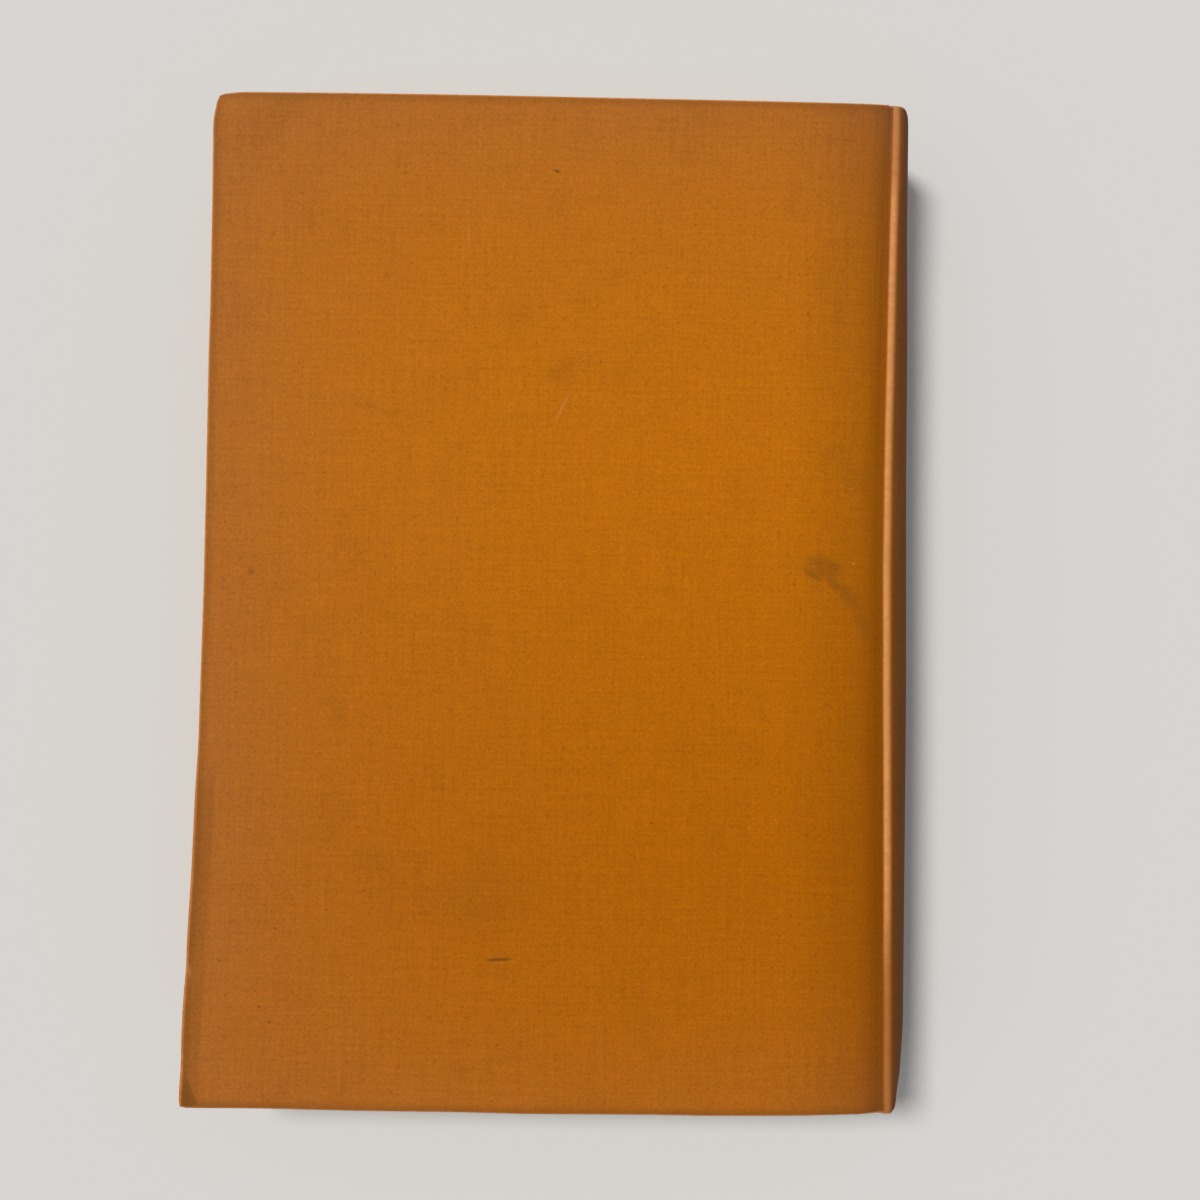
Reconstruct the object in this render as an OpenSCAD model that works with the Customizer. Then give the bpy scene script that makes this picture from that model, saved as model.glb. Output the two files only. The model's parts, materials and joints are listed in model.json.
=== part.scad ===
// A rounded and backed hardback book in its cloth case, lying on its front cover.
// Millimetres. +Z is up, +Y is the head of the book and +X is the spine.
// The origin is on the table, under the middle of the book's outline.

/* [Covers] */
// Height of the covers, head to tail
cover_h = 203; // [150:0.5:280]
// Width of a cover, from its fore-edge to the ridge of the spine
cover_w = 136.6; // [100:0.1:200]
// Thickness of the closed book over both covers
book_t = 25; // [20:0.5:40]
// Thickness of a board
board_t = 2.2; // [1.9:0.1:3]
// Radius on the outer edges of a covered board
edge_r = 1; // [0.7:0.1:1.3]
// Radius on the inner edges of a covered board
inner_r = 0.6; // [0.5:0.05:0.9]
// Radius of a cover's worn corners, seen from above
corner_r = 1.5; // [0.8:0.1:5]

/* [Cloth] */
// Thickness of the covering cloth
cloth_t = 0.4; // [0.4:0.02:0.5]
// Width of the cloth turned over onto the inside of the case
turn_in = 15; // [10:0.5:20]
// Width of the open seam where two turned edges meet at a corner
mitre_gap = 0.3; // [0.2:0.05:0.6]

/* [Joint] */
// Width of the joint, from a board's edge to the ridge of the spine
joint_w = 4.5; // [4:0.1:7]
// How far the cloth runs flat over a board before it falls into the groove
groove_lead = 0.8; // [0.4:0.1:2]
// How far the layers climb towards the shoulder inside the joint
joint_rise = 0.4; // [0.1:0.05:0.5]
// Slit between a cover and the spine along the floor of the groove
hinge_gap = 0.1; // [0.05:0.05:0.2]

/* [Spine] */
// How far the spine bulges past its ridges
spine_bulge = 6.7; // [6:0.1:9]
// How far the ridges lie below the face of the covers
ridge_drop = 0.1; // [0.05:0.05:0.3]
// Thickness of the card strip inside the spine of the case
inlay_t = 0.5; // [0.3:0.05:0.6]
// Width of the card strip across the spine
inlay_w = 18; // [12:0.5:19]
// Air between the case and the lined back of the pages
hollow_gap = 0.9; // [0.8:0.05:1.5]
// Radius of the spine's two ends, seen from above
cap_r = 2; // [1:0.1:3]

/* [Pages] */
// Square: how far the covers pass the pages at head and tail
square_h = 3; // [2:0.1:5]
// Square: how far the covers pass the pages at the fore-edge
square_w = 3.5; // [2:0.1:6]
// Depth of the hollow fore-edge
fore_hollow = 3.6; // [1:0.1:5]
// Number of sewn sections
sections = 12; // [8:1:16]
// Depth of the valley between two section folds on the back
fold_d = 0.25; // [0.1:0.05:0.4]
// Radius of a section fold at the lip of a shoulder
lip_r = 0.3; // [0.2:0.05:0.4]
// Radius at the foot of a shoulder
foot_r = 1.4; // [1.3:0.05:1.45]
// How far a shoulder leans out from upright, in degrees
shoulder_lean = 10; // [5:1:20]

/* [Linings] */
// Thickness of an endpaper
paper_t = 0.2; // [0.15:0.01:0.22]
// Bare turned-in cloth left round a pastedown
paste_margin = 3; // [2:0.1:5]
// Thickness of the open-weave mull
mull_t = 0.4; // [0.2:0.02:0.4]
// Width of a mull flange glued to a board
flange_w = 25; // [15:0.5:35]
// Room between the ends of the mull and the turned cloth
mull_fit = 1; // [0.5:0.1:10]
// Thickness of the paper lining on the back
lining_t = 0.2; // [0.15:0.01:0.3]
// Width of the paper lining across the back
lining_w = 19; // [12:0.5:20]
// How far the paper lining stops short of the mull's ends
lining_end = 2; // [0.5:0.1:8]
// Radius of a headband's bead
bead_r = 0.9; // [0.6:0.05:1.2]
// Length of the headband's tape down the back
tape_l = 9; // [5:0.5:10]
// Thickness of the headband's tape
tape_t = 0.2; // [0.1:0.05:0.3]
// How far a headband stops short of each shoulder, in degrees
band_end = 3; // [1:0.5:8]

/* [Hidden] */

cloth_color = [0.72, 0.41, 0.07];
paper_color = [0.93, 0.88, 0.76];
endpaper_color = [0.95, 0.92, 0.84];
board_color = [0.55, 0.5, 0.43];
mull_color = [0.9, 0.89, 0.84];
band_color = [0.85, 0.77, 0.6];

// A cut runs this far past the face that it opens
past = 1;

// Places across the book
edge_x = -(cover_w + spine_bulge) / 2;
ridge_x = edge_x + cover_w;
board_x = ridge_x - joint_w;
fore_x = edge_x + square_w;

// Heights above the middle plane of the book
half_t = book_t / 2;
in_z = half_t - 2 * cloth_t - board_t;
fold_t = 2 * paper_t;
page_z = in_z - fold_t;
ridge_z = half_t - ridge_drop;
groove_z = in_z + joint_rise + mull_t + cloth_t;

page_h = cover_h - 2 * square_h;
mull_h = cover_h - 2 * turn_in - 2 * mull_fit;

// A shoulder climbs from its foot in the groove to its lip under the ridge
foot_z = page_z + joint_rise + foot_r;
lip_z = ridge_z - cloth_t - mull_t - fold_t - lip_r;
lean_run = (lip_z - foot_z + (lip_r + foot_r) * sin(shoulder_lean)) * tan(shoulder_lean);
hinge_x = ridge_x - (foot_r + lip_r) * cos(shoulder_lean) - lean_run;
foot_c = [hinge_x, foot_z];
lip_c = [ridge_x, lip_z];

// Where each layer crosses the middle of the spine
case_x = ridge_x + spine_bulge;
inlay_x = case_x - cloth_t;
back_x = inlay_x - inlay_t - cloth_t - hollow_gap - lining_t - mull_t;

arc_steps = 6;
back_steps = 20;
fold_steps = 6;
groove_steps = 12;
$fn = 64;

// Points on an arc from angle a to angle b
function arc(c, r, a, b, n = arc_steps) =
    [for (i = [0 : n]) c + r * [cos(a + (b - a) * i / n), sin(a + (b - a) * i / n)]];

// A list without its first point
function rest(p) = [for (i = [1 : len(p) - 1]) p[i]];

function reversed(p) = [for (i = [len(p) - 1 : -1 : 0]) p[i]];

// A path from the upper side to the middle plane, carried on to the lower side
function both_sides(p) = concat(p, rest(reversed([for (q = p) [q[0], -q[1]]])));

// Radius of the arc that crosses the middle plane at x and meets a circle smoothly
function back_r(c, r, x) = let (b = x - c[0]) (b * b + c[1] * c[1] - r * r) / (2 * (b - r));

// Angle at which that arc meets the circle
function meet_a(c, r, x) = atan2(c[1], c[0] - x + back_r(c, r, x));

// Path from the top of a circle, round it and down the back to the middle plane
function over(c, r, x) = let (big = back_r(c, r, x), a = meet_a(c, r, x))
    concat(arc(c, r, 90, a), rest(arc([x - big, 0], big, a, 0, back_steps)));

// Path up a shoulder, a layer of thickness t away from the pages
function shoulder(t) = concat(
    arc(foot_c, foot_r - t, 270, 360 - shoulder_lean),
    arc(lip_c, lip_r + t, 180 - shoulder_lean, 90));

// A layer's path from the foot of the upper shoulder to the middle of the spine at x
function skin(t, x) = concat(shoulder(t), rest(over(lip_c, lip_r + t, x)));

// The band between two such paths, carried round the whole back
function wrap(under, above) = concat(both_sides(above), reversed(both_sides(under)));

// The cloth's fall from the face of a board into the groove
function groove() =
    let (a = [board_x - groove_lead, half_t], d = [hinge_x - hinge_gap, groove_z] - a)
    [for (i = [0 : groove_steps])
        let (s = i / groove_steps) a + [d[0] * s, d[1] * (1 - cos(180 * s)) / 2]];

// A path moved by t square to itself, towards its right-hand side
function inward(p, t) = [for (i = [0 : len(p) - 1])
    let (d = p[min(i + 1, len(p) - 1)] - p[max(i - 1, 0)])
    p[i] + t * [d[1], -d[0]] / norm(d)];

// Height of the turned cloth's upper side inside the joint
function tuck_z(x) = in_z + cloth_t
    + joint_rise * (x - board_x) / (hinge_x - hinge_gap - board_x);

// Outline with round corners of radius lo at the bottom and hi at the top
function rounded(x0, x1, z0, z1, lo, hi) = concat(
    arc([x0 + lo, z0 + lo], lo, 180, 270), arc([x1 - lo, z0 + lo], lo, 270, 360),
    arc([x1 - hi, z1 - hi], hi, 0, 90), arc([x0 + hi, z1 - hi], hi, 90, 180));

// An outline in x and z, drawn about the middle plane, run along the book's height
module along(h)
    translate([0, 0, half_t]) rotate([90, 0, 0])
        linear_extrude(height = h, center = true) children();

// An outline in y and z run across the whole cover
module across()
    translate([edge_x - past, 0, half_t]) rotate([90, 0, 90])
        linear_extrude(height = cover_w + 2 * past) children();

// The back cover's pieces, turned over for the front cover
module front_side() translate([0, 0, book_t]) mirror([0, 0, 1]) children();

// A block that lies on the middle plane's upper side, from x0 to x1 and z0 to z1
module layer(x0, x1, h, z0, z1)
    translate([x0, -h / 2, half_t + z0]) cube([x1 - x0, h, z1 - z0]);

module at_head_and_tail(y) for (s = [-1, 1]) translate([0, s * y, 0]) children();

// Fore-edge of the cover seen from above, its corners worn round
module cover_plan(inset)
    linear_extrude(height = book_t)
        polygon(concat([[ridge_x, -cover_h / 2 + inset]], [[ridge_x, cover_h / 2 - inset]],
            arc([edge_x + corner_r, cover_h / 2 - corner_r], corner_r - inset, 90, 180),
            arc([edge_x + corner_r, -cover_h / 2 + corner_r], corner_r - inset, 180, 270)));

module board()
    intersection() {
        along(cover_h) polygon(rounded(edge_x + cloth_t, board_x, in_z + cloth_t,
            half_t - cloth_t, inner_r - cloth_t, edge_r - cloth_t));
        across() polygon(rounded(-cover_h / 2 + cloth_t, cover_h / 2 - cloth_t,
            in_z + cloth_t, half_t - cloth_t, inner_r - cloth_t, edge_r - cloth_t));
        cover_plan(cloth_t);
    }

// The covered board's whole outer form, with half of the groove
module cover_form()
    intersection() {
        along(cover_h) polygon(concat(
            reversed(groove()),
            arc([edge_x + edge_r, half_t - edge_r], edge_r, 90, 180),
            arc([edge_x + inner_r, in_z + inner_r], inner_r, 180, 270),
            [[board_x, in_z], [hinge_x - hinge_gap, in_z + joint_rise]]));
        across() polygon(rounded(-cover_h / 2, cover_h / 2, in_z, half_t, inner_r, edge_r));
        cover_plan(0);
    }

// The space in the joint between the outer cloth and the layers under it
module joint_space()
    along(cover_h - 2 * cloth_t) polygon(concat(
        [[board_x - past, in_z + cloth_t + past], [board_x - past, in_z + cloth_t],
            [board_x, in_z + cloth_t]],
        reversed([for (p = inward(groove(), cloth_t)) if (p[0] > board_x && p[1] > tuck_z(p[0])) p])));

module cloth_case()
    difference() {
        cover_form();
        board();
        joint_space();
        along(cover_h - 2 * turn_in) polygon([[edge_x + turn_in, in_z - past],
            [edge_x + turn_in, in_z + cloth_t], [board_x, in_z + cloth_t],
            [hinge_x - hinge_gap, in_z + joint_rise + mull_t],
            [hinge_x, in_z + joint_rise + mull_t], [hinge_x, in_z - past]]);
        for (s = [-1, 1])
            translate([edge_x + corner_r, s * (cover_h / 2 - corner_r), half_t + in_z - past])
                rotate([0, 0, -45 * s]) translate([0, -mitre_gap / 2, 0])
                    cube([turn_in * sqrt(2), mitre_gap, cloth_t + past]);
    }

// The mull stays on the board, between the turned edges at head and tail
module mull_flange()
    along(mull_h) polygon([[board_x - flange_w, in_z + cloth_t - mull_t],
        [board_x, in_z + cloth_t - mull_t], [hinge_x - hinge_gap, in_z + joint_rise],
        [hinge_x - hinge_gap, in_z + joint_rise + mull_t],
        [board_x, in_z + cloth_t], [board_x - flange_w, in_z + cloth_t]]);

// The pasted leaf lies over the turned edges and sinks to the bare board between them
module pastedown() {
    sunk_h = cover_h - 2 * turn_in;
    difference() {
        union() {
            along(cover_h - 2 * paste_margin) polygon([[edge_x + paste_margin, in_z - paper_t],
                [board_x, in_z - paper_t], [hinge_x - hinge_gap, in_z + joint_rise - paper_t],
                [hinge_x - hinge_gap, in_z + joint_rise], [board_x, in_z],
                [edge_x + paste_margin, in_z]]);
            layer(edge_x + turn_in, board_x - flange_w, sunk_h, in_z - paper_t, in_z + cloth_t);
        }
        layer(edge_x + turn_in + paper_t, board_x - flange_w - paper_t, sunk_h - 2 * paper_t,
            in_z - past, in_z + cloth_t - paper_t);
    }
}

// The free leaf, with the endpaper's fold standing against the shoulder
module flyleaf()
    along(page_h) polygon(concat(
        [[fore_x, page_z + paper_t], [fore_x, page_z], [board_x, page_z]],
        shoulder(0), reversed(shoulder(fold_t)),
        [[hinge_x, page_z + joint_rise + paper_t], [board_x, page_z + paper_t]]));

module text_block() {
    back = back_r(lip_c, lip_r, back_x);
    meet = meet_a(lip_c, lip_r, back_x);
    folds = sections * fold_steps;
    hollow_r = (page_z * page_z + fore_hollow * fore_hollow) / (2 * fore_hollow);
    hollow_a = asin(page_z / hollow_r);
    upper = concat([[board_x, page_z]], shoulder(0), rest(arc(lip_c, lip_r, 90, meet)));
    color(paper_color) along(page_h) polygon(concat(upper,
        [for (i = [1 : folds - 1]) let (a = meet * (1 - 2 * i / folds))
            [back_x - back, 0] + (back - fold_d * (1 - abs(sin(180 * i / fold_steps))))
                * [cos(a), sin(a)]],
        reversed([for (p = upper) [p[0], -p[1]]]),
        arc([fore_x + fore_hollow - hollow_r, 0], hollow_r, -hollow_a, hollow_a, back_steps)));
}

module back_flyleaf() color(endpaper_color) flyleaf();

module front_flyleaf() color(endpaper_color) front_side() flyleaf();

// Over the back and down both shoulders to the groove
module mull()
    color(mull_color) along(mull_h)
        polygon(wrap(skin(fold_t, back_x), skin(fold_t + mull_t, back_x + mull_t)));

module spine_lining() {
    r = back_r(lip_c, lip_r + fold_t + mull_t, back_x + mull_t);
    a = asin(lining_w / 2 / r);
    c = [back_x + mull_t - r, 0];
    color(endpaper_color) along(mull_h - 2 * lining_end)
        polygon(concat(arc(c, r + lining_t, a, -a, 2 * back_steps),
            arc(c, r, -a, a, 2 * back_steps)));
}

// A bead on the edge of the pages, carried by a tape glued to the back
module band() {
    r = back_r(lip_c, lip_r, back_x);
    sweep_a = meet_a(lip_c, lip_r, back_x) - band_end;
    seat = page_h / 2;
    translate([back_x - r, 0, half_t]) rotate([-90, 0, 0]) rotate([0, 0, -sweep_a])
        rotate_extrude(angle = 2 * sweep_a) {
            intersection() {
                translate([r + tape_t - bead_r, seat + bead_r / 2]) circle(r = bead_r);
                translate([r - 2 * bead_r, seat]) square([3 * bead_r, 2 * bead_r]);
            }
            translate([r, seat - tape_l]) square([tape_t, tape_l + bead_r / 2]);
        }
}

module head_band() color(band_color) band();

module tail_band() color(band_color) mirror([0, 1, 0]) band();

// Spine seen from above, its two ends rounded, run up through the book
module spine_plan(inset)
    linear_extrude(height = book_t)
        polygon(concat([[hinge_x - past, cover_h / 2 - inset], [hinge_x - past, -cover_h / 2 + inset]],
            arc([case_x - cap_r, -cover_h / 2 + cap_r], cap_r - inset, -90, 0),
            arc([case_x - cap_r, cover_h / 2 - cap_r], cap_r - inset, 0, 90)));

// A strip of the spine between two depths under its cloth's outer face, w wide
module spine_strip(from, to, w, h) {
    r = back_r(lip_c, lip_r + fold_t + mull_t + cloth_t, case_x);
    a = asin(w / 2 / (r - from));
    along(h) polygon(concat(arc([case_x - r, 0], r - from, a, -a, 2 * back_steps),
        arc([case_x - r, 0], r - to, -a, a, 2 * back_steps)));
}

module inlay()
    intersection() {
        spine_strip(cloth_t, cloth_t + inlay_t, inlay_w, cover_h - 2 * cloth_t);
        spine_plan(cloth_t);
    }

module spine_inlay() color(board_color) inlay();

// Over the case's spine, turned in round the ends of the card strip
module spine_cloth()
    color(cloth_color) difference() {
        intersection() {
            union() {
                along(cover_h) polygon(wrap(skin(fold_t + mull_t, inlay_x),
                    skin(fold_t + mull_t + cloth_t, case_x)));
                at_head_and_tail((cover_h - turn_in) / 2)
                    spine_strip(cloth_t / 2, inlay_t + 2 * cloth_t, inlay_w, turn_in);
            }
            spine_plan(0);
        }
        inlay();
    }

module back_board() color(board_color) board();

module back_cloth() color(cloth_color) cloth_case();

module back_mull_flange() color(mull_color) mull_flange();

module back_pastedown() color(endpaper_color) pastedown();

module front_board() color(board_color) front_side() board();

module front_cloth() color(cloth_color) front_side() cloth_case();

module front_mull_flange() color(mull_color) front_side() mull_flange();

module front_pastedown() color(endpaper_color) front_side() pastedown();

text_block();
front_flyleaf();
back_flyleaf();
mull();
spine_lining();
head_band();
tail_band();
spine_inlay();
spine_cloth();
back_board();
back_cloth();
back_mull_flange();
back_pastedown();
front_board();
front_cloth();
front_mull_flange();
front_pastedown();
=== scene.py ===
# A worn cloth-bound hardback, lying back cover up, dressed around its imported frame.
import functools
import json
import math
import random

import bmesh
import bpy
from mathutils import Matrix, Vector, noise
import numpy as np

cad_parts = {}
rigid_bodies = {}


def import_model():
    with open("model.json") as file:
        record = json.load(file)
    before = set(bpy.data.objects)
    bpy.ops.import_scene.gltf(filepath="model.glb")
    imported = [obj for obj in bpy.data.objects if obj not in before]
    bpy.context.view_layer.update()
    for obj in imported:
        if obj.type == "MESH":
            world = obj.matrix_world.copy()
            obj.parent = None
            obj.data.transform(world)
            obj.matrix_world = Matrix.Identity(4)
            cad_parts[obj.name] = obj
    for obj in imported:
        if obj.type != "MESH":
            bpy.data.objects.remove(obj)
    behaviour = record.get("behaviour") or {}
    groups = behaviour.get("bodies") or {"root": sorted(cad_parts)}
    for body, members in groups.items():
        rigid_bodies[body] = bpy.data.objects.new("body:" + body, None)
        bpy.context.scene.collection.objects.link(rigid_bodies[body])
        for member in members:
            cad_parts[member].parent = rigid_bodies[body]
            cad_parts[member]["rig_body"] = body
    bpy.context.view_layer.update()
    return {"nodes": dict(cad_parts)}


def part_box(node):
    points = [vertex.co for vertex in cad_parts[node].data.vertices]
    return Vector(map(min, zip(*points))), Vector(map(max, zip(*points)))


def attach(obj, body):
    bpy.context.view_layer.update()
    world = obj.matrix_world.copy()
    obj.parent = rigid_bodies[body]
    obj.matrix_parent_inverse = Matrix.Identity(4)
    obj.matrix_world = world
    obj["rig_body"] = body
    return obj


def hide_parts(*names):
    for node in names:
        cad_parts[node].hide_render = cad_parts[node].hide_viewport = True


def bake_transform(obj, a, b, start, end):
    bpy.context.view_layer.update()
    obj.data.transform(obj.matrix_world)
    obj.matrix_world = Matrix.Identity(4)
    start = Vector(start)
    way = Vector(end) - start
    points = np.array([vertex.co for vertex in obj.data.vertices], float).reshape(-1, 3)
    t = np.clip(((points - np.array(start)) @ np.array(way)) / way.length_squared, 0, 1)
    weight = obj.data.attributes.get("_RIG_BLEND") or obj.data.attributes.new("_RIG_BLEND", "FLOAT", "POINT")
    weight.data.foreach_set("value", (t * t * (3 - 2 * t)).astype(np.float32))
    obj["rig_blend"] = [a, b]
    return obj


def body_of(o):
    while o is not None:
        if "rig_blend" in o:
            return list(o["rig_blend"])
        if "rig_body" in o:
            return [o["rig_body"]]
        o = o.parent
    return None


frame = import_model()
print("frame loaded with", len(frame["nodes"]), "nodes")

mm = 0.001
random.seed(7)

# Places taken from the frame: +X is the spine, +Y the head, +Z out of the back cover
clothLow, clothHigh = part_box("back_cloth")
spineLow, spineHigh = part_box("spine_cloth")
pagesLow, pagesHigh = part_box("text_block")
bookT = clothHigh.z
midZ = bookT / 2
halfH = clothHigh.y
edgeX = clothLow.x  # fore-edge of the covers
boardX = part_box("back_board")[1].x  # spine-side edge of a board
hingeX = spineLow.x  # foot of the shoulder, under the groove
caseX = spineHigh.x  # outermost line of the spine
insideZ = clothLow.z - midZ  # inner face of a cover, above the middle plane
ridgeTop = spineHigh.z - midZ

case = {
    "cloth": 0.4 * mm,
    "edgeRound": 1.0 * mm,  # outer edges of a covered board
    "innerRound": 0.6 * mm,
    "turnIn": 15 * mm,
    "jointWidth": 4.5 * mm,  # board's edge to the crest of the ridge
    "grooveLead": 2.4 * mm,  # where the cloth starts to fall, before the board's edge
    "grooveDepth": 1.0 * mm,
    "fallPower": 1.7,  # how late the cloth falls into the groove
    "jointRise": 0.4 * mm,  # inside, from the board's edge to the foot of the shoulder
    "ridgeRound": 1.5 * mm,
    "lean": math.radians(10),  # of the shoulders
    "inlayWide": 18 * mm,
    "inlayThick": 0.5 * mm,
    "inlayEdge": (1.5 * mm, -0.5 * mm),  # the inner face steps over the inlay's edge here
    "capRound": {"head": 1.8 * mm, "tail": 3.2 * mm},  # corners of the spine
    "cornerRound": {"head": 2.0 * mm, "tail": 1.0 * mm},  # corners of the fore-edge
    # the mesh: first steps in from an edge, in mm, then an even step over the boards
    "acrossSteps": (0, 0.4, 0.8, 1.3, 1.9, 2.6, 3.4, 4.4, 5.6, 7.2, 9.2),
    "alongSteps": (0, 0.5, 1.0, 1.7, 2.5, 3.6, 5.0, 7.0, 9.0),
    "faceStep": 2.3 * mm,
    "jointSteps": 13,
    "ridgeSteps": (8, 5),  # up the ridge's inner side, then over it
    "backSteps": 18,
    "outerTurn": (0.4, 0.8, 1.2, math.pi / 2),  # angles of the rings round an edge
    "innerTurn": (0.5, 1.05, math.pi / 2),
    "turnedSteps": (1.6, 3.2, 7, 11, 15),  # rings over the turned-in cloth, in mm
}
ridgeX = boardX + case["jointWidth"]
lipZ = ridgeTop - case["ridgeRound"]
coverMid = (edgeX + ridgeX) / 2


def smooth(a, b, x):
    t = min(max((x - a) / (b - a), 0.0), 1.0)
    return t * t * (3 - 2 * t)


def stations(near, step, far):
    # distances from an edge: the near steps first, in mm, then even ones
    near = [d * mm for d in near]
    count = max(1, round((far - near[-1]) / step))
    return near + [near[-1] + (far - near[-1]) * k / count for k in range(1, count + 1)]


def follow(stops, at):
    # reads a run of (place, value) pairs, both in mm, between its places
    at /= mm
    for (a, one), (b, other) in zip(stops, stops[1:]):
        if at <= b:
            return mm * (one + (other - one) * min(max((at - a) / (b - a), 0.0), 1.0))
    return mm * stops[-1][1]


# How the worn book departs from a new one. Runs go from the tail to the head.
spineWear = {
    # the upper ridge leans towards the spine at both ends
    "ridgeRun": [
        (-101, 1.2), (-85, 1.1), (-69, 0.86), (-49, 0.7), (-19, 0.3),
        (9, 0.02), (37, 0.2), (61, 0.5), (81, 0.85), (97, 1.1),
    ],
    "ridgeLevels": (0.1, 0.75),  # the lean grows between these shares of the half thickness
    "ridgeFade": (25 * mm, 1 * mm),  # and over this much of the cover's face
    "ripple": 0.07 * mm,
    "rippleLong": 17 * mm,
    # the outermost line of the spine
    "backRun": [
        (-101, -0.95), (-99, -0.72), (-97, -0.38), (-92, -0.06), (-86, 0.2), (-20, 0.24), (0, 0.06),
        (15, -0.08), (30, -0.2), (45, -0.2), (60, -0.25), (80, -0.56), (95, -0.66),
    ],
    "squareHead": (0.15 * mm, 0.4 * mm),  # squarer at the head: outwards and up
    "squareFrom": (70 * mm, 97 * mm),
    "squareWide": 1.8 * mm,
    "tailRub": 1.6 * mm,  # the tail of the spine is rubbed back
    "rubFrom": (-70 * mm, -101 * mm),
    "endTuck": {"head": 0.5 * mm, "tail": 0.3 * mm},  # the spine is a little shorter than the boards
    "tuckFrom": (92 * mm, 101 * mm),
    "tuckAcross": (boardX + 1.5 * mm, ridgeX + 0.3 * mm),
    "grooveFill": 0.8,  # share of the groove that has flattened out at the head
    "fillFrom": (86 * mm, 100 * mm),
}
backWear = {
    "bow": 1.2 * mm,  # the board is a little domed
    # the fore-edge is a little hollow, and its tail corner has spread outwards
    "flareRun": [
        (-99, 1.76), (-87, 1.68), (-80, 1.47), (-72.7, 1.3), (-65.5, 1.0), (-54.6, 0.62), (-43.8, 0.42),
        (-22, 0.18), (-8, 0.0), (0, -0.1), (20, -0.14), (49, -0.1), (57, -0.2), (78, -0.17), (95, 0.0),
    ],
    "flareReach": 30 * mm,
    "curl": 1.2 * mm,  # the tail corner is curled up
    "curlReach": 42 * mm,
    "curlFrom": (-25 * mm, -100 * mm),
    "foldLift": 1.0 * mm,  # a narrow strip along the edge is bent up
    "foldWide": 3.9 * mm,
    "foldFrom": (-28 * mm, -42 * mm),
    "foldEase": 0.45,  # it is flatter again at the corner
    "easeFrom": (-82 * mm, -96 * mm),
    "dentY": -73.5 * mm,  # a knock in that strip
    "dentLong": 4.2 * mm,
    "dentDeep": 0.7 * mm,
    "dentSlant": 0.5,
    "tailFrom": (-60 * mm, -101 * mm),
    "tailTuck": (0.22 * mm, 0.44 * mm),  # the tail edge has moved in, more at its corner
    "tailReach": ((50 * mm, 68 * mm), (8 * mm, 34 * mm)),
    "tailFull": 0.2 * mm,  # and stands out again near the joint
    "fullFrom": (88 * mm, 104 * mm),
    "fullTo": (120 * mm, 130 * mm),
    "bentTuck": 0.45,  # what is bent up draws in by this share of its lift
    "bentFrom": (-93 * mm, -101 * mm),
    "headTuck": 0.46 * mm,
    "headReach": (70 * mm, 150 * mm),
    "headFrom": (60 * mm, 101 * mm),
    "wedgeWide": 3.3 * mm,  # a creased flap at the very corner
    "wedgeLong": 9.0 * mm,
    "wedgeLift": 0.6 * mm,
    "wedgeCrease": 0.6,
    "knock": 0.9 * mm,  # the head corner is knocked down
    "knockReach": 6.5 * mm,
    "taper": 0.5 * mm,  # and in
    "taperReach": (7 * mm, 8 * mm),  # along the fore-edge and across
}


def clothFall(x):
    # how far the cloth's outer face has fallen towards the groove at x
    fallX = boardX - case["grooveLead"]
    return case["grooveDepth"] * max(0.0, (x - fallX) / (hingeX - fallX)) ** case["fallPower"]


def bowAt(x):
    share = 2 * (x - coverMid) / (ridgeX - edgeX)
    return backWear["bow"] * max(0.0, 1 - share * share)


def wearSpine(p):
    # p is in the row frame; both halves of the case share this, so they meet at the spine's middle
    w = spineWear
    x, y, z = p
    level = (z - midZ) / ridgeTop
    ripple = w["ripple"] * noise.noise(Vector((y / w["rippleLong"], 3.7, 0.2)))
    sway = (follow(w["ridgeRun"], y) + ripple) * smooth(*w["ridgeLevels"], level)
    out = smooth(ridgeX, caseX, x)
    fadeStart, fadeStop = w["ridgeFade"]
    crest = smooth(ridgeX - fadeStart, ridgeX - fadeStop, x) * (1 - out)
    square = smooth(0, 0.6, abs(level)) * (1 - 0.6 * smooth(0.9, 1, abs(level)))
    square *= smooth(ridgeX, ridgeX + w["squareWide"], x) * smooth(*w["squareFrom"], y)
    squareOut, squareUp = w["squareHead"]
    moved = x + sway * crest + follow(w["backRun"], y) * out + squareOut * square
    z = max(0.0, z + math.copysign(squareUp * square, level))
    dip = clothFall(min(x, hingeX)) * (1 - smooth(hingeX, ridgeX - 0.6 * mm, x))
    z += w["grooveFill"] * dip * smooth(*w["fillFrom"], y) * level
    end = smooth(*w["tuckAcross"], x)
    tuckStart, tuckStop = w["tuckFrom"]
    rubbed = y + w["tailRub"] * out * smooth(*w["rubFrom"], y)
    rubbed += end * w["endTuck"]["tail"] * smooth(-tuckStart, -tuckStop, y)
    rubbed -= end * w["endTuck"]["head"] * smooth(tuckStart, tuckStop, y)
    return Vector((moved, rubbed, z))


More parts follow.
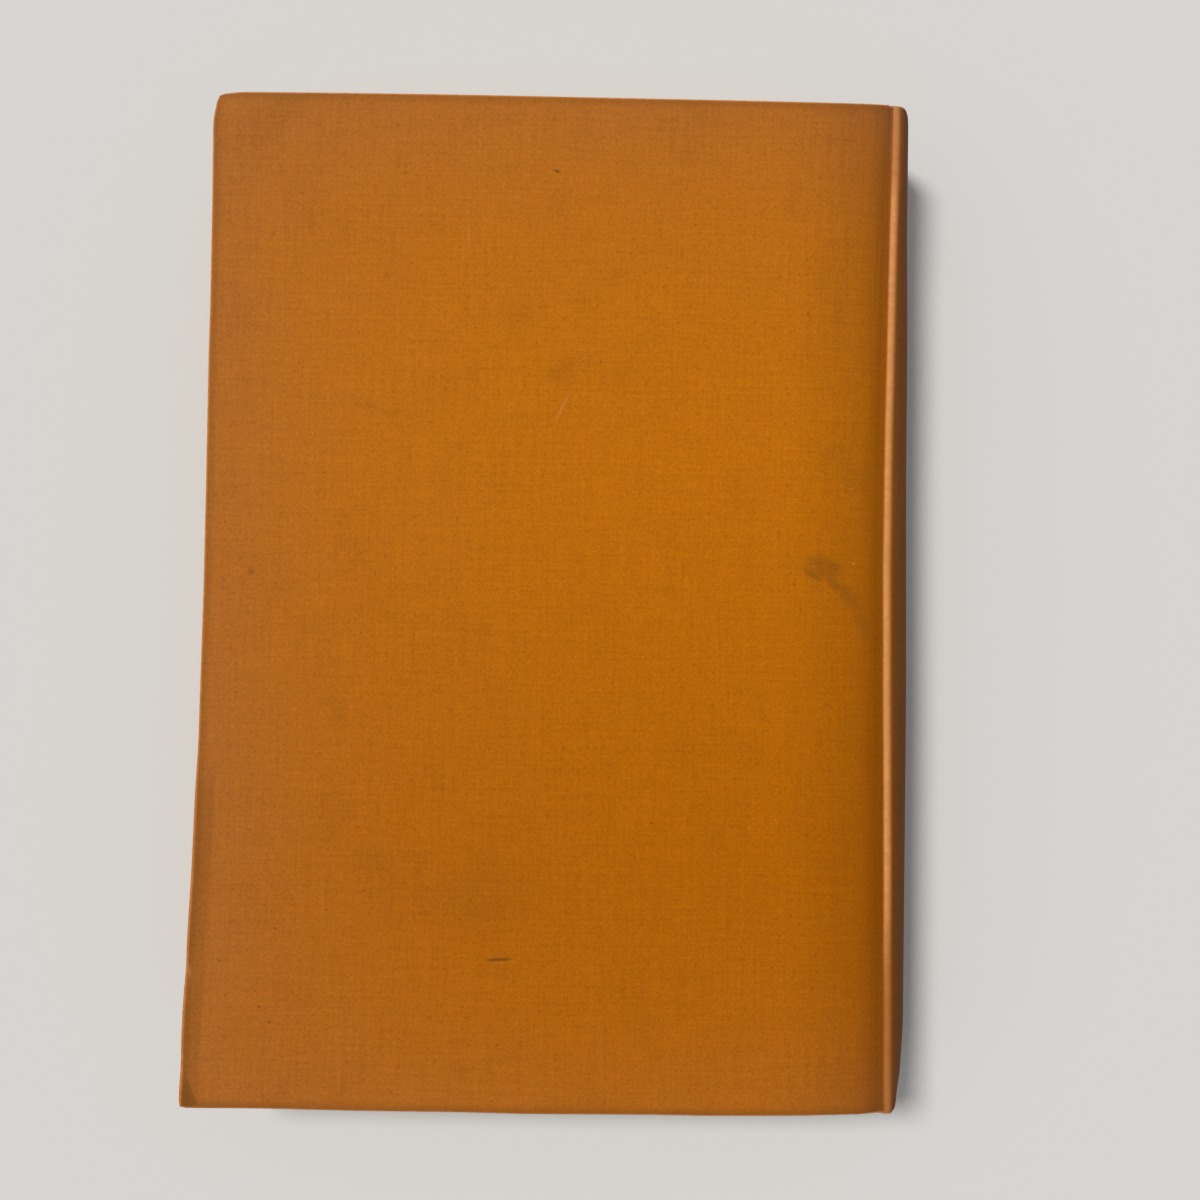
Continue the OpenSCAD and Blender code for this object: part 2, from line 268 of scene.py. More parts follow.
def wearBack(p):
    # the back cover's dome, its spread and curled tail corner and its knocked head corner
    w = backWear
    x, y, z = p
    inFrom = x - edgeX
    near = 1 - smooth(0, w["curlReach"], inFrom)
    lift = bowAt(x) + w["curl"] * near * near * smooth(*w["curlFrom"], y)
    strip = max(0.0, 1 - max(inFrom, 0.0) / w["foldWide"])
    fold = w["foldLift"] * smooth(*w["foldFrom"], y) * (1 - w["foldEase"] * smooth(*w["easeFrom"], y))
    dent = math.exp(-(((y - w["dentY"] - w["dentSlant"] * inFrom) / w["dentLong"]) ** 2))
    lift += strip * (fold - w["dentDeep"] * dent)
    wedge = 1 - inFrom / w["wedgeWide"] - (y + halfH) / w["wedgeLong"]
    flap = w["wedgeLift"] * smooth(0, w["wedgeCrease"], wedge)
    lift += flap
    lift -= w["knock"] * (1 - smooth(0, w["knockReach"], math.hypot(inFrom, halfH - y)))
    outward = follow(w["flareRun"], y) * (1 - smooth(0, w["flareReach"], inFrom))
    alongReach, acrossReach = w["taperReach"]
    taper = w["taper"] * (1 - smooth(0, alongReach, halfH - y)) * (1 - smooth(0, acrossReach, inFrom))
    tuck = sum(deep * (1 - smooth(*reach, inFrom)) for deep, reach in zip(w["tailTuck"], w["tailReach"]))
    tuck = tuck * smooth(*w["tailFrom"], y) + w["bentTuck"] * (flap + fold * strip) * smooth(*w["bentFrom"], y)
    tuck -= w["headTuck"] * (1 - smooth(*w["headReach"], inFrom)) * smooth(*w["headFrom"], y)
    full = smooth(*w["fullFrom"], inFrom) * (1 - smooth(*w["fullTo"], inFrom))
    tuck -= w["tailFull"] * full * smooth(*w["tailFrom"], y)
    return Vector((x - outward + taper, y + tuck, z + lift))


def roundCorner(p, cornerX, cornerY, radius):
    # bends the square corner at (cornerX, cornerY) into a quarter circle
    dx, dy = abs(p.x - cornerX), abs(p.y - cornerY)
    if dx >= radius or dy >= radius:
        return p
    a, b = 1 - dx / radius, 1 - dy / radius
    roundA, roundB = a * math.sqrt(1 - b * b / 2), b * math.sqrt(1 - a * a / 2)
    inX = 1 if cornerX < 0 else -1
    inY = -1 if cornerY > 0 else 1
    return Vector((cornerX + inX * radius * (1 - roundA), cornerY + inY * radius * (1 - roundB), p.z))


def roundEnds(p, cornerX, radii):
    p = roundCorner(p, cornerX, halfH, radii["head"])
    return roundCorner(p, cornerX, -halfH, radii["tail"])


def makePiece(name, bm, material, thick=0.0, side=-1, smoothed=True):
    # thick > 0 gives an open sheet its thickness: side -1 is away from its normals, 0 is half each way
    mesh = bpy.data.meshes.new(name)
    bm.to_mesh(mesh)
    bm.free()
    piece = bpy.data.objects.new(name, mesh)
    bpy.context.scene.collection.objects.link(piece)
    mesh.materials.append(material)
    if thick:
        solid = piece.modifiers.new("thickness", "SOLIDIFY")
        solid.thickness = thick
        solid.offset = side
        solid.use_even_offset = True
        bpy.context.view_layer.update()
        shaped = piece.evaluated_get(bpy.context.evaluated_depsgraph_get())
        mesh = bpy.data.meshes.new_from_object(shaped)
        piece.modifiers.clear()
        piece.data = mesh
        piece.data.name = name
        piece.data.set_sharp_from_angle(angle=math.radians(50))
    piece.data.polygons.foreach_set("use_smooth", [smoothed] * len(piece.data.polygons))
    return piece


def gridOf(columns, rows):
    # a flat grid whose vertices know their column and row
    bm = bmesh.new()
    bmesh.ops.create_grid(bm, x_segments=columns - 1, y_segments=rows - 1, size=0.5)
    col, row = bm.verts.layers.int.new("col"), bm.verts.layers.int.new("row")
    for v in bm.verts:
        v[col] = round((v.co.x + 0.5) * (columns - 1))
        v[row] = round((v.co.y + 0.5) * (rows - 1))
    return bm, col, row


# Finishes
def linear(r, g, b):
    # an sRGB colour, 0 to 255, as the shader wants it
    parts = [c / 255 for c in (r, g, b)]
    return tuple(c / 12.92 if c <= 0.04045 else ((c + 0.055) / 1.055) ** 2.4 for c in parts) + (1.0,)


class Wire:  # a socket that can be used in sums
    def __init__(self, finish, out):
        self.finish, self.out = finish, out

    def sum(self, operation, *others):
        return self.finish.node("ShaderNodeMath", {"operation": operation}, [self, *others])

    def __add__(self, other):
        return self.sum("ADD", other)

    def __sub__(self, other):
        return self.sum("SUBTRACT", other)

    def __mul__(self, other):
        return self.sum("MULTIPLY", other)

    def __truediv__(self, other):
        return self.sum("DIVIDE", other)

    def __rsub__(self, other):
        return self.finish.node("ShaderNodeMath", {"operation": "SUBTRACT"}, [other, self])

    __radd__ = __add__
    __rmul__ = __mul__


class Finish:  # one material and the nodes in it
    def __init__(self, name):
        self.material = bpy.data.materials.new(name)
        self.material.use_nodes = True
        self.tree = self.material.node_tree
        self.shader = self.tree.nodes["Principled BSDF"]

    def onPiece(self):
        return self.node("ShaderNodeTexCoord", output="Object")

    def node(self, kind, settings=None, values=(), output=0):
        made = self.tree.nodes.new(kind)
        for key, value in (settings or {}).items():
            setattr(made, key, value)
        pairs = values.items() if isinstance(values, dict) else enumerate(values)
        for key, value in pairs:
            if isinstance(value, Wire):
                self.tree.links.new(value.out, made.inputs[key])
            else:
                made.inputs[key].default_value = value
        return Wire(self, made.outputs[output])

    def inMm(self, vector, count=3):
        # the first parts of a place, in mm
        parts = self.node("ShaderNodeSeparateXYZ", values=[vector]).out.node.outputs
        return [Wire(self, part) * 1000 for part in parts[:count]]

    def attribute(self, name, output="Vector"):
        return self.node("ShaderNodeAttribute", {"attribute_name": name}, output=output)

    def scaled(self, vector, size):
        return self.node("ShaderNodeVectorMath", {"operation": "MULTIPLY"}, [vector, size])

    def noise(self, vector, scale, detail=2.0, roughness=0.5):
        values = {"Vector": vector, "Scale": scale, "Detail": detail, "Roughness": roughness}
        return self.node("ShaderNodeTexNoise", None, values, "Fac")

    def ramp(self, value, low, high, start=0.0, stop=1.0):
        settings = {"interpolation_type": "SMOOTHSTEP"}
        return self.node("ShaderNodeMapRange", settings, [value, low, high, start, stop])

    def mix(self, first, second, share, blend="MIX"):
        settings = {"data_type": "RGBA", "blend_type": blend}
        return self.node("ShaderNodeMix", settings, {0: share, 6: first, 7: second}, 2)

    def bump(self, height, distance, strength=1.0):
        values = {"Strength": strength, "Distance": distance, "Height": height}
        return self.node("ShaderNodeBump", None, values)

    def set(self, **sockets):
        for key, value in sockets.items():
            socket = self.shader.inputs[key.replace("_", " ")]
            if isinstance(value, Wire):
                self.tree.links.new(value.out, socket)
            else:
                socket.default_value = value
        return self.material


clothLook = {
    "middle": linear(191, 109, 6),
    "rim": linear(169, 102, 46),  # browner and duller towards the edges
    "tail": (0.84, 0.79, 0.4, 1.0),  # painted shade: darker towards the tail, standing in for the light falling off there
    "joint": (0.48, 0.48, 1.0, 1.0),  # and down into the joint: partly dirt, partly painted shade of the groove's slope and the spine's shaded side
    "worn": linear(222, 150, 90),  # rubbed edges and ridge, lightened further as painted highlight where they face the light
    # dust on the spine, also standing in as painted shade on the spine's side
    "dust": linear(84, 68, 52),
    # dirt on blotches and stains, and also painted shade along the edges, on the bent-up strip and on the corner
    # flap
    "dirtAndShade": linear(96, 64, 24),
    "pit": linear(104, 56, 18),
    # lengths from here on are in mm; a run is where a tone starts, where it is full, and how strong
    "wander": 14,  # how far a soft noise shifts the bounds of the tones
    "handled": {"fore": (24, 0.82), "head": (22, 0.76), "foot": (13, 0.42)},  # reach from an edge and strength
    # where the painted shade towards the tail starts and where it is full
    "tailFrom": (45, -65),
    # dirt and painted shade beside the joint and over the spine
    "jointDirtAndShadeRuns": ((42, 62, 0.46), (59, 64.6, 0.42)),
    "spineDustAndShade": (ridgeX / mm + 0.6, ridgeX / mm + 2.6, 0.38),
    "blotches": (0.52, 0.85, 0.12),
    "soil": (0.6, 0.78, 0.34),
    "thread": 0.58,  # from one thread to the next but one
    "crossings": 0.4,
    "slubs": 1.3,
    "grain": 3.1,
    "weaveDepth": 0.155,
    "ridgeLevels": (10.9, 11.9),  # heights above the middle plane
    "rimLevels": ((10.6, 11.6), (10.2, 9.5), (8.8, 9.2)),  # the board's outer arris, then its inner one
    "rimWide": (0.75, 0.15),
    # a band of dirt and painted shade just inside the rims
    "soiledAndShadedWide": (2.6, 0.5),
    # the bent-up strip gets painted shade, and a wider painted highlight on its rim
    "bentFrom": (-30, -42),
    "bentWide": (4.0, 3.4),
    # the corner flap gets painted shade
    "flapSize": (3.9, 10.5),
    "roughness": 0.78,
}

# Marks on the back cover: x, y, half width, half height in mm, turn in degrees, strength
backStains = [
    (52.0, 7.3, 4.1, 2.6, -22, 0.34),
    (49.9, 5.8, 2.4, 0.8, -30, 0.42),
    (54.2, 4.2, 2.6, 1.3, -42, 0.3),
    (57.0, 1.5, 1.7, 4.2, 42, 0.24),
    (59.6, -3.6, 1.5, 4.4, 28, 0.16),
    (43.9, 21.3, 0.8, 0.7, 0, 0.14),
    (-2.4, 86.0, 0.7, 0.32, -20, 0.75),
    (-11.4, -71.1, 2.8, 0.36, 4, 0.72),
    (-1.2, 45.0, 3.4, 3.0, 0, 0.12),
    (-61.9, 4.7, 1.0, 1.0, 0, 0.35),
    (-14.5, -58.8, 13.0, 8.0, 10, 0.09),
    (-59.5, 95.6, 9.0, 4.0, 40, 0.1),
]
backSpecks = [  # pinholes: x, y, radius
    (-65.1, -72.0, 0.26),
    (-55.2, -65.5, 0.26),
    (-57.6, -81.1, 0.3),
    (-55.6, -84.1, 0.3),
    (26.3, -12.5, 0.22),
    (44.0, -66.0, 0.22),
    (42.5, -72.3, 0.22),
    (46.1, 3.8, 0.24),
    (47.4, -1.2, 0.2),
]
speckStrength = 0.62
backFlecks = [  # where the colour is rubbed through, given as the stains are
    (-0.6, 38.4, 0.4, 3.0, -27, 0.19),
    (-19.7, 71.5, 0.25, 4.5, 4, 0.1),
    (58.1, 8.1, 0.24, 0.24, 0, 0.42),
    (57.4, 23.0, 0.24, 0.24, 0, 0.3),
    (66.7, 99.9, 0.5, 0.35, 20, 0.4),
    (-44.0, 63.0, 0.2, 2.0, -8, 0.12),
    (-70.6, -74.3, 0.35, 1.5, 6, 0.42),
]


def clothFinish():
    look = clothLook
    f = Finish("bookCloth")
    place = f.attribute("place")
    x, y, z = f.inMm(place)
    flat = f.attribute("flat")
    u, v = f.inMm(flat, 2)

    def tint(colour, other, value, run):
        start, stop, strength = run
        return f.mix(colour, look[other], f.ramp(value, start, stop) * strength)

    # browner and duller towards the fore-edge and the two ends, where it has been handled
    cloud = f.noise(place, 38.0, 3.0, 0.6)
    wander = (cloud - 0.5) * look["wander"]
    fromHead, fromTail = halfH / mm - y, y + halfH / mm
    fromEdge = x - edgeX / mm
    near = fromEdge.sum("MINIMUM", fromHead).sum("MINIMUM", fromTail)

    def clean(distance, side):
        reach, strength = look["handled"][side]
        return 1 - ((distance + wander) * (-1 / reach)).sum("EXPONENT") * strength

    untouched = clean(fromEdge, "fore") * clean(fromHead, "head") * clean(fromTail, "foot")
    # painted shade: the cloth is multiplied darker towards the tail in place of the light's falloff
    colour = f.mix(look["middle"], look["tail"], f.ramp(y + wander, *look["tailFrom"]), "MULTIPLY")
    colour = f.mix(colour, look["rim"], (1 - untouched).sum("MAXIMUM", 0.0))
    # partly dirt, partly painted shade: darker towards the groove and over the spine, which the light reaches
    # only at a glancing angle
    (wideFrom, wideTo, wide), (closeFrom, closeTo, close) = look["jointDirtAndShadeRuns"]
    jointDirtAndShade = f.ramp(x + wander * 0.4, wideFrom, wideTo) * wide + f.ramp(x, closeFrom, closeTo) * close
    colour = f.mix(colour, look["joint"], jointDirtAndShade, "MULTIPLY")
    # partly dust, partly painted shade: the spine's side is greyed and darkened
    colour = tint(colour, "dust", x, look["spineDustAndShade"])

    # soft blotches and fine soil in the weave
    colour = tint(colour, "dirtAndShade", f.noise(place, 95.0, 2.0, 0.6), look["blotches"])
    colour = tint(colour, "pit", f.noise(place, 1300.0, 2.0, 0.6), look["soil"])
    grain = f.noise(place, 2700.0, 1.0, 0.5)

    # plain weave: warp and weft pass over each other in turn, with slubs along them
    turn = 2 * math.pi / look["thread"]
    slubX = f.noise(f.scaled(flat, (60.0, 1500.0, 0.0)), 1.0, 2.0)
    slubY = f.noise(f.scaled(flat, (1500.0, 60.0, 0.0)), 1.0, 2.0)
    warp, weft = (u * turn).sum("SINE"), (v * turn).sum("SINE")
    weave = warp * weft * look["crossings"] + (slubX - 0.5) * look["slubs"] + (slubY - 0.5) * look["slubs"]
    weave = weave + (grain - 0.5) * look["grain"]
    shade = 1 + weave * look["weaveDepth"]
    rgb = f.node("ShaderNodeCombineColor", None, [shade, shade, shade])
    colour = f.mix(colour, rgb, 1.0, "MULTIPLY")

    # stains and pinholes on the back cover's face
    onBack = f.ramp(z, bookT / mm - 1.2, bookT / mm - 0.6)
    wobble = (f.noise(place, 420.0, 2.0, 0.6) - 0.5) * 0.5

    def spot(cx, cy, a, b, degrees, strength):
        turned = (0, 0, math.radians(degrees))
        values = [place, (cx * mm, cy * mm, 0), turned, (a * mm, b * mm, 1)]
        local = f.node("ShaderNodeMapping", {"vector_type": "TEXTURE"}, values)
        away = f.node("ShaderNodeVectorMath", {"operation": "LENGTH"}, [local], "Value")
        return f.ramp(away + wobble, 1.25, 0.4, 0.0, strength)

    def heaviest(spots):
        return functools.reduce(lambda one, other: one.sum("MAXIMUM", other), [spot(*s) for s in spots])

    specks = [(cx, cy, radius, radius, 0, speckStrength) for cx, cy, radius in backSpecks]
    colour = f.mix(colour, look["dirtAndShade"], heaviest(backStains) * onBack)
    colour = f.mix(colour, look["pit"], heaviest(specks) * onBack)
    colour = f.mix(colour, look["worn"], heaviest(backFlecks) * onBack)

    # rubbed where it is handled, and painted highlight where these face the light: the crest of the ridges and
    # the rims of the boards
    level = (z - midZ / mm).sum("ABSOLUTE")
    crest = f.ramp(level, *look["ridgeLevels"]) * f.ramp(x, ridgeX / mm - 1.0, ridgeX / mm - 0.5)
    crest = crest * (1 - f.ramp(x, ridgeX / mm - 0.2, ridgeX / mm + 1.3))
    patchy = f.ramp(f.noise(place, 700.0, 2.0, 0.65), 0.3, 0.7)
    crest = crest * (1 - f.ramp(y, -52, -80) * 0.62) * (1 - f.ramp(y, 78, 90) * 0.35) * (0.74 + patchy * 0.18)
    # painted shade on the bent-up strip, which tilts away from the light; it also widens the rim's painted
    # highlight
    bent = f.ramp(y, *look["bentFrom"]) * f.ramp(fromEdge, *look["bentWide"]) * onBack
    # painted shade: the corner flap is darkened in colour
    flapWide, flapLong = look["flapSize"]
    flap = f.ramp(fromEdge / flapWide + fromTail / flapLong, 1.03, 0.97) * onBack
    # partly rubbing, partly painted highlight on the boards' rounded rims
    outer, inner, innerEnd = (f.ramp(level, *levels) for levels in look["rimLevels"])
    rim = f.ramp(near - bent * 0.15, *look["rimWide"]) * (outer + inner * innerEnd * 0.6)
    # partly dirt, partly painted shade of the rounded edges where they turn from the light
    soiledAndShaded = f.ramp(near, *look["soiledAndShadedWide"]) * (1 - rim) * (0.4 + f.ramp(level, 11.0, 12.2) * 0.6)
    # painted shade with some dirt: the dark band inside the rims, the bent-up strip and the corner flap
    paintedShadeAndDirt = (soiledAndShaded * 0.3 + bent * 0.14 * (1 - rim)).sum("MAXIMUM", flap * 0.52 * (1 - rim))
    colour = f.mix(colour, look["dirtAndShade"], paintedShadeAndDirt)
    # wear together with painted highlight on the crest and the rims
    worn = crest.sum("MAXIMUM", rim * (0.3 + patchy * 0.4) * (1 - bent * 0.4))
    colour = f.mix(colour, look["worn"], worn)

    normal = f.bump(warp * weft, 0.03 * mm, 0.5)
    rough = look["roughness"] - worn * 0.12 + (cloud - 0.5) * 0.1
    return f.set(Base_Color=colour, Roughness=rough, Normal=normal, Specular_IOR_Level=0.04)


def paperFinish(name, base, aged, grain, mottled, follows=False):
    # aged: its colour at the edges and in patches; follows: the pattern bends with a sheet that crosses a joint
    f = Finish(name)
    place = f.attribute("place") if follows else f.onPiece()
    fibre = f.noise(f.scaled(place, (1500.0, 3400.0, 1500.0)), 1.0, 4.0, 0.65)
    age = f.noise(place, 24.0, 5.0, 0.62)
    colour = f.mix(base, aged, f.ramp(age, 0.4, 0.85) * mottled)
    if follows:
        x, y = f.inMm(place, 2)
        near = (halfH / mm - y.sum("ABSOLUTE")).sum("MINIMUM", x - edgeX / mm)
        colour = f.mix(colour, aged, (near * -0.12).sum("EXPONENT") * 0.9)
        foxing = f.noise(place, 210.0, 2.0, 0.5)
        colour = f.mix(colour, linear(176, 132, 78), f.ramp(foxing, 0.7, 0.8) * 0.4)
    colour = f.mix(colour, aged, f.ramp(fibre, 0.45, 0.8) * 0.16)
    return f.set(Base_Color=colour, Roughness=0.86, Normal=f.bump(fibre, grain), Specular_IOR_Level=0.2)


def pageFinish():
    f = Finish("pageEdges")
    place = f.onPiece()
    tone = f.attribute("leafTone", "Fac")
    streak = f.noise(f.scaled(place, (30.0, 60.0, 9000.0)), 1.0, 3.0, 0.6)
    dust = f.noise(place, 90.0, 5.0, 0.65)
    colour = f.mix(linear(243, 222, 183), linear(228, 198, 150), tone)
    colour = f.mix(colour, linear(196, 164, 116), f.ramp(streak, 0.45, 0.8) * 0.35)
    colour = f.mix(colour, linear(178, 148, 104), f.ramp(dust, 0.5, 0.85) * 0.28)
    return f.set(Base_Color=colour, Roughness=0.88, Normal=f.bump(streak, 0.12 * mm), Specular_IOR_Level=0.15)


def boardFinish():
    f = Finish("greyBoard")
    place = f.onPiece()
    fibre = f.noise(f.scaled(place, (900.0, 900.0, 4500.0)), 1.0, 4.0, 0.65)
    colour = f.mix(linear(150, 140, 124), linear(108, 99, 86), f.ramp(fibre, 0.35, 0.7))
    return f.set(Base_Color=colour, Roughness=0.92, Normal=f.bump(fibre, 0.1 * mm))


def mullFinish():
    f = Finish("mullGauze")
    place = f.onPiece()
    turn = 2 * math.pi / 1.1  # mm from one thread to the next but one
    across, along = ((part * turn).sum("SINE").sum("ABSOLUTE") for part in f.inMm(place, 2))
    thread = across.sum("MAXIMUM", along)
    colour = f.mix(linear(150, 138, 112), linear(226, 220, 200), f.ramp(thread, 0.7, 0.95))
    return f.set(Base_Color=colour, Roughness=0.9, Normal=f.bump(thread, 0.2 * mm))


def bandFinish():
    f = Finish("bandThread")
    wound = f.attribute("wound", "Fac")
    place = f.onPiece()
    fuzz = f.noise(place, 3000.0, 2.0)
    # painted shade: the thread is lighter on the proud windings and darker in the grooves between them; the tape
    # takes a fixed mid tone
    colour = f.mix(linear(214, 190, 140), linear(176, 146, 92), wound)
    colour = f.mix(colour, linear(120, 92, 52), f.ramp(fuzz, 0.55, 0.8) * 0.4)
    return f.set(Base_Color=colour, Roughness=0.8, Normal=f.bump(fuzz, 0.1 * mm))


bookCloth = clothFinish()
endPaper = paperFinish("endPaper", linear(238, 229, 205), linear(212, 190, 148), 0.03 * mm, 0.35, True)
liningPaper = paperFinish("liningPaper", linear(196, 178, 138), linear(150, 128, 90), 0.06 * mm, 0.6)
pageEdges = pageFinish()
greyBoard = boardFinish()
mullGauze = mullFinish()
bandThread = bandFinish()
print("finishes made")


# The case: cloth over each board, down the joint and half round the spine
def spinePoints():
    # outer path of the cloth from the groove's floor, over the ridge, to the spine's middle line
    r = case["ridgeRound"]
    right = math.pi / 2
    up, over = case["ridgeSteps"]
    foot = math.pi - math.asin((midZ - case["grooveDepth"] - lipZ) / r)
    points = [(hingeX, midZ - case["grooveDepth"])]
    points += arc(ridgeX, lipZ, r, foot, right, up)
    bulge = caseX - ridgeX
    big = (bulge * bulge + lipZ * lipZ - r * r) / (2 * (bulge - r))
    meet = math.atan2(lipZ, big - bulge)
    points += arc(ridgeX, lipZ, r, right, meet, over)[1:]
    turns = [1 - k / case["backSteps"] for k in range(1, case["backSteps"])]
    turns += [0.004, 0]  # a short last step hides the seam
    return points + [arcPoint(caseX - big, 0, big, meet * turn) for turn in turns]


def arcPoint(cx, cz, r, angle):
    return cx + r * math.cos(angle), cz + r * math.sin(angle)


def arc(cx, cz, r, start, stop, steps):
    return [arcPoint(cx, cz, r, start + (stop - start) * k / steps) for k in range(steps + 1)]


def casePath():
    # one row per column of the sheet: outer x and z, inner x and z, above the middle plane
    start = edgeX + case["edgeRound"]
    fallX = boardX - case["grooveLead"]
    outer = [(start + d, midZ) for d in stations(case["acrossSteps"], case["faceStep"], fallX - start)]
    down = [fallX + (hingeX - fallX) * k / case["jointSteps"] for k in range(1, case["jointSteps"])]
    outer += [(x, midZ - clothFall(x)) for x in down]
    inSpine = len(outer)
    outer += spinePoints()
    rows = []
    for i, (x, z) in enumerate(outer):
        if i < inSpine:
            rise = case["jointRise"] * max(0.0, x - boardX) / (hingeX - boardX)
            rows.append((x, z, x, insideZ + rise))
            continue
        before, after = outer[i - 1], outer[min(i + 1, len(outer) - 1)]
        dx, dz = after[0] - before[0], after[1] - before[1]
        if i == len(outer) - 1:
            dx, dz = 0, -1  # the sheet meets its other half square
        length = math.hypot(dx, dz)
        off, on = (case["inlayWide"] / 2 + d for d in case["inlayEdge"])
        deep = 2 * case["cloth"] + case["inlayThick"] * smooth(off, on, z)
        rows.append((x, z, x + dz / length * deep, z - dx / length * deep))
    return rows


def ringStops(deep):
    # how far out and how deep each ring of the turned edge lies, and how far in from the outline
    r, ri = (min(case[key], 0.45 * deep) for key in ("edgeRound", "innerRound"))
    stops = [(r * math.sin(a), r * (1 - math.cos(a)), 0) for a in case["outerTurn"]]
    stops += [(r, (r + deep - ri) / 2, 0), (r, deep - ri, 0)]
    turned = [(ri * (1 - math.cos(a)), deep - ri + ri * math.sin(a)) for a in case["innerTurn"]]
    stops += [(r - inset, depth, inset) for inset, depth in turned]
    stops += [(r - inset * mm, deep, inset * mm) for inset in case["turnedSteps"]]
    walked, last = [], (0, 0)
    for stop in stops:
        walked.append((walked[-1] if walked else 0) + math.hypot(stop[0] - last[0], stop[1] - last[1]))
        last = stop
    return r, stops, walked


def caseHalf(name, side):
    # side 1 is the back cover, on top; side -1 is the front cover, turned over
    path = casePath()
    reach = halfH - case["edgeRound"]
    half = stations(case["alongSteps"], case["faceStep"], reach)
    along = [-reach + d for d in half] + [reach - d for d in reversed(half)][1:]
    bm, col, row = gridOf(len(path), len(along))
    lastCol, lastRow = len(path) - 1, len(along) - 1
    developed = [0.0]
    for a, b in zip(path, path[1:]):
        developed.append(developed[-1] + math.hypot(b[0] - a[0], b[1] - a[1]))
    flat = bm.verts.layers.float_vector.new("flat")

    def settle(v, ring):
        i, j = v[col], v[row]
        x, z, innerX, innerZ = path[i]
        deep = math.hypot(innerX - x, innerZ - z)
        r, stops, walked = ringStops(deep)
        out, depth, inset = (0, 0, 0) if ring < 0 else stops[ring]
        travelled = 0 if ring < 0 else walked[ring]
        x, z = x + (innerX - x) * depth / deep, z + (innerZ - z) * depth / deep
        y = along[j]
        u, w = developed[i], along[j]
        if j in (0, lastRow):
            sign = -1 if j == 0 else 1
            y = sign * (halfH - r + out)
            w = sign * (halfH - r + travelled)
            x = max(x, edgeX + inset) if inset and i > 0 else x  # mitred at the corners
        if i == 0:
            x -= out
            u -= travelled
            y = max(-halfH + inset, min(halfH - inset, y))
        v.co = (x, y, z)
        v[flat] = (u, w, 0)

    def free(edges):
        # the open ones, but for those at the spine's middle
        return [e for e in edges if e.is_boundary and not all(v[col] == lastCol for v in e.verts)]

    for v in bm.verts:
        settle(v, -1)
    rings, turned = ringStops(midZ - insideZ)[1:]
    rim = free(bm.edges)
    for ring in range(len(rings)):
        made = bmesh.ops.extrude_edge_only(bm, edges=rim)["geom"]
        for v in [g for g in made if isinstance(g, bmesh.types.BMVert)]:
            settle(v, ring)
        rim = free([g for g in made if isinstance(g, bmesh.types.BMEdge)])
    bmesh.ops.remove_doubles(bm, verts=bm.verts, dist=0.01 * mm)

    place = bm.verts.layers.float_vector.new("place")
    for v in bm.verts:
        p = Vector((v.co.x, v.co.y, midZ + side * v.co.z))
        v[place] = p
        p = wearSpine(roundEnds(roundEnds(p, edgeX, case["cornerRound"]), caseX, case["capRound"]))
        v.co = wearBack(p) if side > 0 else p
    if side < 0:
        bmesh.ops.reverse_faces(bm, faces=bm.faces)
    cut = (developed[-1] + turned[-1], 2 * (reach + turned[-1]))
    return makePiece(name, bm, bookCloth, case["cloth"]), cut


backCase, clothCut = caseHalf("back_case_cloth", 1)
frontCase, clothCut = caseHalf("front_case_cloth", -1)
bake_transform(backCase, "book_block", "back_cover", start=(ridgeX, 0, bookT), end=(boardX, 0, bookT))
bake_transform(frontCase, "book_block", "front_cover", start=(ridgeX, 0, 0), end=(boardX, 0, 0))
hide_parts("back_cloth", "spine_cloth")
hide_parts("front_cloth", "spine_cloth")
print("case cloth made:", len(backCase.data.polygons), "faces a half")


# The pages: a stack of thin leaves, rounded and backed, with the folds of the sections on the back
leaves = {
    "sections": 12,
    "inSection": 16,
    "gap": 0.012 * mm,
    "hollow": 3.6 * mm,  # depth of the fore-edge's curve
    "foreInset": 0.2 * mm,
    "foldDeep": 0.25 * mm,
    "foreJitter": 0.1 * mm,
    "endJitter": 0.06 * mm,
    "sectionJitter": 0.14 * mm,
    "toneShares": (0.4, 0.6),  # of a leaf's tone: its section's and its own
    "shoulderFoot": 1.4 * mm,
    "shoulderRise": 1.6,  # slope from the foot to the lip
    "lipRound": 0.3 * mm,
    "bowPower": 1.5,  # how soon the dome of the back cover fades down the stack
    "acrossShares": (0, 0.03, 0.1, 0.25, 0.5, 0.75, 0.9, 1),  # columns of a leaf up to the board's edge
    "shoulderSteps": (0, 0.4, 0.8, 1.1, 1.3, 1.5, 1.75),  # and from the shoulder's foot on, in mm
    "rows": 7,
}
pageZ = 9.1 * mm  # half the thickness of the pages, away from the shoulders


def leafHeight(x):
    # half the height of the stack at x: even, then swelling into the shoulder
    foot, lip = leaves["shoulderFoot"], leaves["lipRound"]
    if x < boardX:
        return pageZ
    if x < hingeX:
        return pageZ + case["jointRise"] * (x - boardX) / (hingeX - boardX)
    footEnd = hingeX + foot * math.cos(case["lean"])
    if x < footEnd:
        return lipZ - math.sqrt(foot * foot - (x - hingeX) ** 2)
    return min(lipZ + lip, lipZ - foot * math.sin(case["lean"]) + (x - footEnd) * leaves["shoulderRise"])


def backRadius():
    # radius of the rounded back of the pages
    reach, lip = pagesHigh.x - ridgeX, leaves["lipRound"]
    return (reach * reach + lipZ * lipZ - lip * lip) / (2 * (reach - lip))


